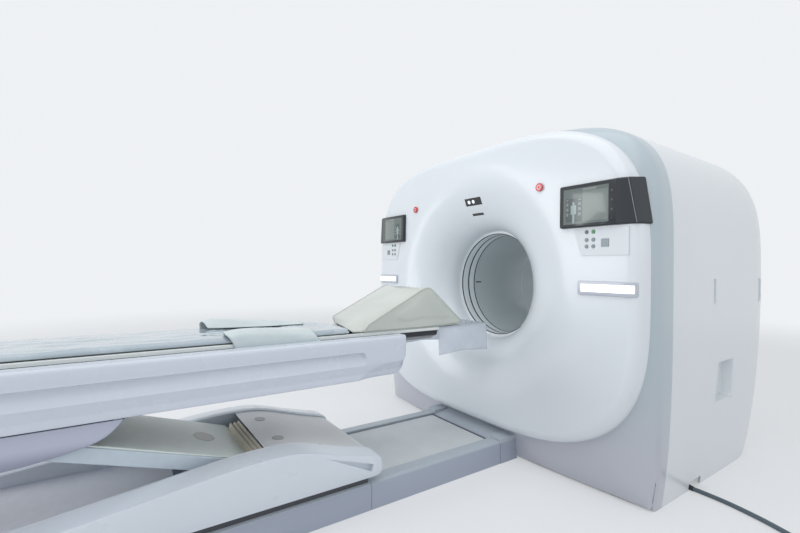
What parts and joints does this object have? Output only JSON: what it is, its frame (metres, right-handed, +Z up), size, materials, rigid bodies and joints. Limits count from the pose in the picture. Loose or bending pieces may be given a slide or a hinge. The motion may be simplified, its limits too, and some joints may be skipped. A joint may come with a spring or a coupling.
{
  "type": "ct scanner",
  "caption": "Medical CT scanner: tall gantry with a round patient bore, face panels, and a rail-mounted lifting patient table with a sliding cradle.",
  "frame": {"origin": "on the floor at the centre of the gantry's four floor anchor holes, under the bore axis", "axes": "+Z up, +Y along the patient bore from the table side to the rear, +X to the right seen from the front"},
  "size_m": [3.0282, 4.865, 1.965],
  "materials": {
    "frame_paint": "satin grey paint",
    "front_white": "smooth satin white moulding",
    "band_grey": "satin blue-grey moulding",
    "shell_white": "smooth satin white moulding",
    "rear_white": "smooth satin white moulding",
    "liner_white": "translucent pale plastic",
    "ring_white": "satin white",
    "seal_dark": "dark rubber seal",
    "window_black": "gloss black window",
    "display_dark": "anthracite housing with a glass front",
    "panel_white": "matte white membrane",
    "light_silver": "satin silver bezel",
    "bearing_steel": "ground steel",
    "detector_metal": "machined aluminium",
    "motor_paint": "dark painted motor",
    "belt_rubber": "black toothed belt",
    "pulley_metal": "turned aluminium",
    "drum_metal": "cast aluminium",
    "tube_metal": "pale painted housing",
    "tank_metal": "pale painted tank",
    "arc_metal": "dark anodised housing",
    "cable_grey": "grey cable sheath",
    "coil_grey": "grey cable sheath",
    "plug_dark": "dark connector",
    "track_grey": "satin blue-grey paint",
    "mat_grey": "matte ribbed plastic",
    "chassis_paint": "satin paint",
    "fairing_white": "satin white moulding",
    "hood_beige": "warm grey moulding",
    "pleat_cream": "cream pleated fabric",
    "arm_paint": "pale blue-grey paint",
    "arm_beige": "warm grey plate",
    "link_steel": "plain steel",
    "table_metal": "satin paint",
    "table_white": "satin white moulding",
    "pod_white": "satin white moulding",
    "cradle_white": "pale composite shell over a dark underside",
    "tongue_white": "pale composite",
    "pad_blue": "pale pad under a clear glossy cover",
    "wedge_vinyl": "glossy grey-green vinyl",
    "strap_vinyl": "pale grey vinyl",
    "sheet_clear": "clear flexible sheet",
    "stop_red": "gloss red button",
    "button_slate": "satin button",
    "button_green": "satin button",
    "button_grey": "satin button",
    "button_square": "satin button"
  },
  "bodies": {
    "gantry": {"gantry_frame": "frame_paint", "front_cover": "front_white", "bezel_band": "band_grey", "right_shell": "shell_white", "left_shell": "shell_white", "rear_cover": "rear_white", "bore_liner": "liner_white", "bore_rings": "ring_white", "bore_seals": "seal_dark", "sensor_windows": "window_black", "displays": "display_dark", "control_panels": "panel_white", "light_bars": "light_silver", "main_bearing": "bearing_steel", "rear_detector_ring": "detector_metal", "drive_motor": "motor_paint", "drive_belt": "belt_rubber", "power_cable": "cable_grey", "cable_coil": "coil_grey", "cable_plug": "plug_dark", "floor_track": "track_grey", "ribbed_mat": "mat_grey"},
    "rotor": {"rotor_drum": "drum_metal", "xray_tube": "tube_metal", "generator_tank": "tank_metal", "detector_arc": "arc_metal"},
    "pulley": {"motor_pulley": "pulley_metal"},
    "sled": {"sled_chassis": "chassis_paint", "sled_fairings": "fairing_white", "base_hood": "hood_beige", "pleated_cover": "pleat_cream"},
    "lift_arm": {"main_arm": "arm_paint", "arm_cover": "arm_beige"},
    "link": {"level_link": "link_steel"},
    "table": {"table_frame": "table_metal", "table_cover": "table_white", "under_pod": "pod_white"},
    "couch": {"cradle": "cradle_white", "cradle_tongue": "tongue_white", "mattress": "pad_blue", "wedge_cushion": "wedge_vinyl", "body_straps": "strap_vinyl", "clear_sheet": "sheet_clear"},
    "right_stop": {"right_stop": "stop_red"},
    "right_key_1": {"right_button_1": "button_slate"},
    "right_key_2": {"right_button_2": "button_green"},
    "right_key_3": {"right_button_3": "button_grey"},
    "right_key_4": {"right_button_4": "button_grey"},
    "right_key_5": {"right_button_5": "button_grey"},
    "right_key_6": {"right_button_6": "button_grey"},
    "right_key_7": {"right_button_7": "button_square"},
    "left_stop": {"left_stop": "stop_red"},
    "left_key_1": {"left_button_1": "button_slate"},
    "left_key_2": {"left_button_2": "button_green"},
    "left_key_3": {"left_button_3": "button_grey"},
    "left_key_4": {"left_button_4": "button_grey"},
    "left_key_5": {"left_button_5": "button_grey"},
    "left_key_6": {"left_button_6": "button_grey"},
    "left_key_7": {"left_button_7": "button_square"}
  },
  "joints": [
    {"name": "rotor_spin", "type": "hinge", "parent": "gantry", "child": "rotor", "pos_m": [0, 0, 1.054], "axis": [0, 1, 0], "continuous": true},
    {"name": "pulley_spin", "type": "hinge", "parent": "gantry", "child": "pulley", "pos_m": [0.86, -0.05, 0.2], "axis": [0, 1, 0], "continuous": true},
    {"name": "base_slide", "type": "slide", "parent": "gantry", "child": "sled", "axis": [0, 1, 0], "range_m": [-0.28, 0.12]},
    {"name": "arm_lift", "type": "hinge", "parent": "sled", "child": "lift_arm", "pos_m": [0, -2.1, 0.232], "axis": [-1, 0, 0], "range_deg": [-10, 12.5], "deforming": ["pleated_cover"]},
    {"name": "table_level", "type": "hinge", "parent": "lift_arm", "child": "table", "pos_m": [0, -3.05106, 0.54102], "axis": [-1, 0, 0], "range_deg": [-12.5, 10]},
    {"name": "link_swing", "type": "hinge", "parent": "sled", "child": "link", "pos_m": [0, -2.1, 0.187], "axis": [-1, 0, 0], "range_deg": [-10, 12.5]},
    {"name": "cradle_slide", "type": "slide", "parent": "table", "child": "couch", "axis": [0, 1, 0], "range_m": [-0.28, 1.45], "deforming": ["clear_sheet"]},
    {"name": "right_stop_press", "type": "slide", "parent": "gantry", "child": "right_stop", "axis": [0, 1, 0], "range_m": [0, 0.004], "stiffness_N_per_m": 1500},
    {"name": "right_key_1_press", "type": "slide", "parent": "gantry", "child": "right_key_1", "axis": [0, 1, 0], "range_m": [0, 0.0015], "stiffness_N_per_m": 600},
    {"name": "right_key_2_press", "type": "slide", "parent": "gantry", "child": "right_key_2", "axis": [0, 1, 0], "range_m": [0, 0.0015], "stiffness_N_per_m": 600},
    {"name": "right_key_3_press", "type": "slide", "parent": "gantry", "child": "right_key_3", "axis": [0, 1, 0], "range_m": [0, 0.0015], "stiffness_N_per_m": 600},
    {"name": "right_key_4_press", "type": "slide", "parent": "gantry", "child": "right_key_4", "axis": [0, 1, 0], "range_m": [0, 0.0015], "stiffness_N_per_m": 600},
    {"name": "right_key_5_press", "type": "slide", "parent": "gantry", "child": "right_key_5", "axis": [0, 1, 0], "range_m": [0, 0.0015], "stiffness_N_per_m": 600},
    {"name": "right_key_6_press", "type": "slide", "parent": "gantry", "child": "right_key_6", "axis": [0, 1, 0], "range_m": [0, 0.0015], "stiffness_N_per_m": 600},
    {"name": "right_key_7_press", "type": "slide", "parent": "gantry", "child": "right_key_7", "axis": [0, 1, 0], "range_m": [0, 0.0015], "stiffness_N_per_m": 600},
    {"name": "left_stop_press", "type": "slide", "parent": "gantry", "child": "left_stop", "axis": [0, 1, 0], "range_m": [0, 0.004], "stiffness_N_per_m": 1500},
    {"name": "left_key_1_press", "type": "slide", "parent": "gantry", "child": "left_key_1", "axis": [0, 1, 0], "range_m": [0, 0.0015], "stiffness_N_per_m": 600},
    {"name": "left_key_2_press", "type": "slide", "parent": "gantry", "child": "left_key_2", "axis": [0, 1, 0], "range_m": [0, 0.0015], "stiffness_N_per_m": 600},
    {"name": "left_key_3_press", "type": "slide", "parent": "gantry", "child": "left_key_3", "axis": [0, 1, 0], "range_m": [0, 0.0015], "stiffness_N_per_m": 600},
    {"name": "left_key_4_press", "type": "slide", "parent": "gantry", "child": "left_key_4", "axis": [0, 1, 0], "range_m": [0, 0.0015], "stiffness_N_per_m": 600},
    {"name": "left_key_5_press", "type": "slide", "parent": "gantry", "child": "left_key_5", "axis": [0, 1, 0], "range_m": [0, 0.0015], "stiffness_N_per_m": 600},
    {"name": "left_key_6_press", "type": "slide", "parent": "gantry", "child": "left_key_6", "axis": [0, 1, 0], "range_m": [0, 0.0015], "stiffness_N_per_m": 600},
    {"name": "left_key_7_press", "type": "slide", "parent": "gantry", "child": "left_key_7", "axis": [0, 1, 0], "range_m": [0, 0.0015], "stiffness_N_per_m": 600}
  ],
  "couplings": [
    {"joint": "pulley_spin", "follows": "rotor_spin", "ratio": 12.667},
    {"joint": "table_level", "follows": "arm_lift", "ratio": -1},
    {"joint": "link_swing", "follows": "arm_lift", "ratio": 1}
  ]
}
